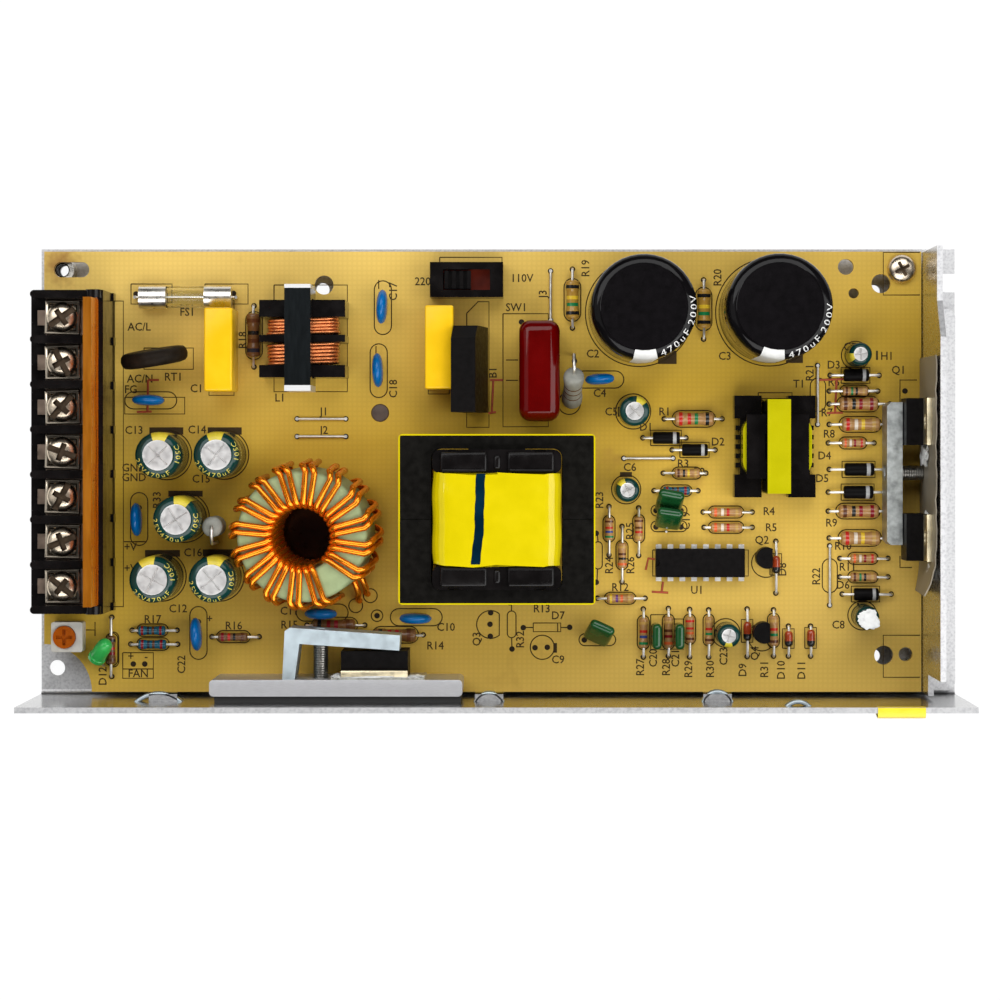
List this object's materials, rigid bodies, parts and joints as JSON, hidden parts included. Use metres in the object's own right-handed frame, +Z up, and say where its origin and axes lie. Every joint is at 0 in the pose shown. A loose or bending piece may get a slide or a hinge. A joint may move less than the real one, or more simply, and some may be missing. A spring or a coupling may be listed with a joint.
{
  "type": "switching power supply",
  "caption": "Open-frame switching power supply: folded metal chassis with a loaded circuit board, covered screw terminals, transformer, ring choke and electrolytic capacitors.",
  "frame": {"origin": "middle of the chassis, on the base's underside", "axes": "+X along the length, away from the screw terminals; +Y across the width, away from the long wall; +Z up from the base"},
  "size_m": [0.199, 0.098, 0.038],
  "materials": {
    "sheet_metal": "satin",
    "laminate": "satin",
    "plated_steel": "satin",
    "contact_brass": "satin",
    "black_plastic": "satin",
    "cover_plastic": "gloss",
    "pale_ceramic": "satin",
    "orange_plastic": "gloss",
    "green_lens": "gloss",
    "clear_glass": "gloss",
    "red_glass": "gloss",
    "nickel": "gloss",
    "dark_ceramic": "satin",
    "yellow_plastic": "satin",
    "core_wrap": "satin",
    "copper": "gloss",
    "blue_dip": "satin",
    "red_plastic": "satin",
    "red_dip": "gloss",
    "grey_cement": "matt",
    "black_sleeve": "satin",
    "green_sleeve": "satin",
    "ring_coat": "matt",
    "ferrite": "satin",
    "yellow_tape": "satin",
    "tan_coat": "satin",
    "blue_coat": "satin",
    "green_dip": "gloss",
    "dark_steel": "satin",
    "grey_sheet": "matt"
  },
  "bodies": {
    "supply": {"chassis": "sheet_metal", "long_wall": "sheet_metal", "end_wall": "sheet_metal", "spacer_bar": "sheet_metal", "board": "laminate", "board_standoffs": "plated_steel", "board_screw": "plated_steel", "terminal_plates": "plated_steel", "terminal_screws": "plated_steel", "clamp_bar": "plated_steel", "rectifier_clamp": "plated_steel", "jumper_wires": "plated_steel", "controller_pins": "plated_steel", "terminal_contacts": "contact_brass", "terminal_housing": "black_plastic", "choke_bobbin": "black_plastic", "selector_housing": "black_plastic", "bridge_rectifier": "black_plastic", "transformer_bobbin": "black_plastic", "drive_bobbin": "black_plastic", "controller_chip": "black_plastic", "small_transistors": "black_plastic", "rectifier_diodes": "black_plastic", "power_transistors": "black_plastic", "output_rectifier": "black_plastic", "trimmer_body": "pale_ceramic", "status_led": "green_lens", "fuse_tube": "clear_glass", "glass_diodes": "red_glass", "fuse_caps": "nickel", "thermistor": "dark_ceramic", "line_capacitors": "yellow_plastic", "choke_core": "core_wrap", "choke_windings": "copper", "toroid_winding": "copper", "disc_capacitors": "blue_dip", "selector_insert": "red_plastic", "film_capacitor": "red_dip", "power_resistors": "grey_cement", "bulk_capacitors": "black_sleeve", "output_capacitors": "green_sleeve", "small_capacitors": "green_sleeve", "toroid_core": "ring_coat", "transformer_core": "ferrite", "drive_core": "ferrite", "transformer_winding": "yellow_tape", "core_tape": "yellow_tape", "drive_winding": "yellow_tape", "drive_tape": "yellow_tape", "small_resistors": "tan_coat", "large_resistors": "tan_coat", "metal_film_resistors": "blue_coat", "drop_capacitors": "green_dip", "clamp_screw": "dark_steel", "rectifier_screw": "dark_steel", "insulating_sheet": "grey_sheet", "rectifier_pads": "grey_sheet"},
    "cover": {"terminal_cover": "cover_plastic"},
    "rotor": {"trimmer_rotor": "orange_plastic"},
    "slider": {"selector_slider": "black_plastic"}
  },
  "joints": [
    {"name": "cover_hinge", "type": "hinge", "parent": "supply", "child": "cover", "pos_m": [-0.08475, 0.0049, 0.0263], "axis": [0, -1, 0], "range_deg": [0, 90]},
    {"name": "selector_slide", "type": "slide", "parent": "supply", "child": "slider", "axis": [1, 0, 0], "range_m": [0, 0.0038]},
    {"name": "trimmer_turn", "type": "hinge", "parent": "supply", "child": "rotor", "pos_m": [-0.0928, -0.0348, 0.0121], "axis": [0, 0, 1], "range_deg": [-135, 135]}
  ]
}
